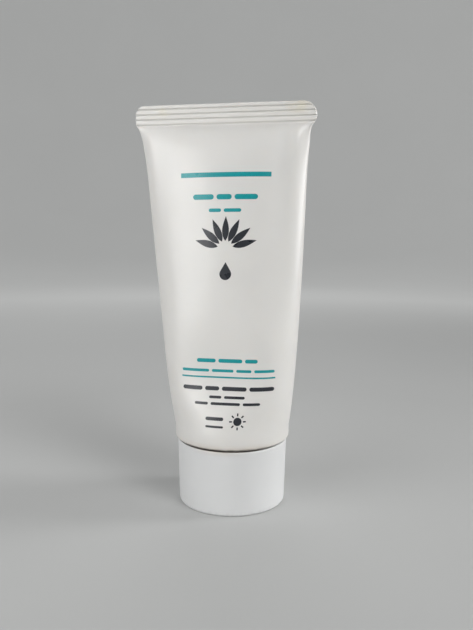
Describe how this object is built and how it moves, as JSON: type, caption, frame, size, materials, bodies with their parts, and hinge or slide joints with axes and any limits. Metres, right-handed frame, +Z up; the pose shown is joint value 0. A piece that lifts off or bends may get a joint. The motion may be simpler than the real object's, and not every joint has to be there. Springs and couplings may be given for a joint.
{
  "type": "squeeze tube with screw cap",
  "caption": "Soft squeeze tube for sunscreen serum, flat crimped top end, threaded neck with an outlet plug, standing on its plain round screw cap.",
  "frame": {"origin": "centre of the cap's closed end, on the surface that the tube stands on", "axes": "+Z up along the tube's axis towards the crimped seal, +X along the seal's width, and the printed front faces -Y"},
  "size_m": [0.0548, 0.035, 0.12],
  "materials": {
    "cap": "satin white polypropylene",
    "liner": "plain moulded white",
    "wad": "soft foamed plastic",
    "shoulder": "plain moulded white",
    "insert": "milky natural plastic",
    "serum": "smooth cream",
    "sleeve": "semi-gloss warm white, printed"
  },
  "bodies": {
    "cap": {"cap_shell": "cap", "cap_liner": "liner"},
    "wad": {"sealing_wad": "wad"},
    "tube": {"tube_shoulder": "shoulder", "nozzle_insert": "insert", "serum_fill": "serum", "tube_sleeve": "sleeve"}
  },
  "joints": [
    {"name": "tube_turn", "type": "hinge", "parent": "cap", "child": "wad", "pos_m": [0, 0, 0], "axis": [0, 0, 1], "range_deg": [0, 1080]},
    {"name": "tube_lift", "type": "slide", "parent": "wad", "child": "tube", "axis": [0, 0, 1], "range_m": [0, 0.012]}
  ],
  "couplings": [
    {"joint": "tube_lift", "follows": "tube_turn", "m_per_rad": 0.00063662}
  ]
}
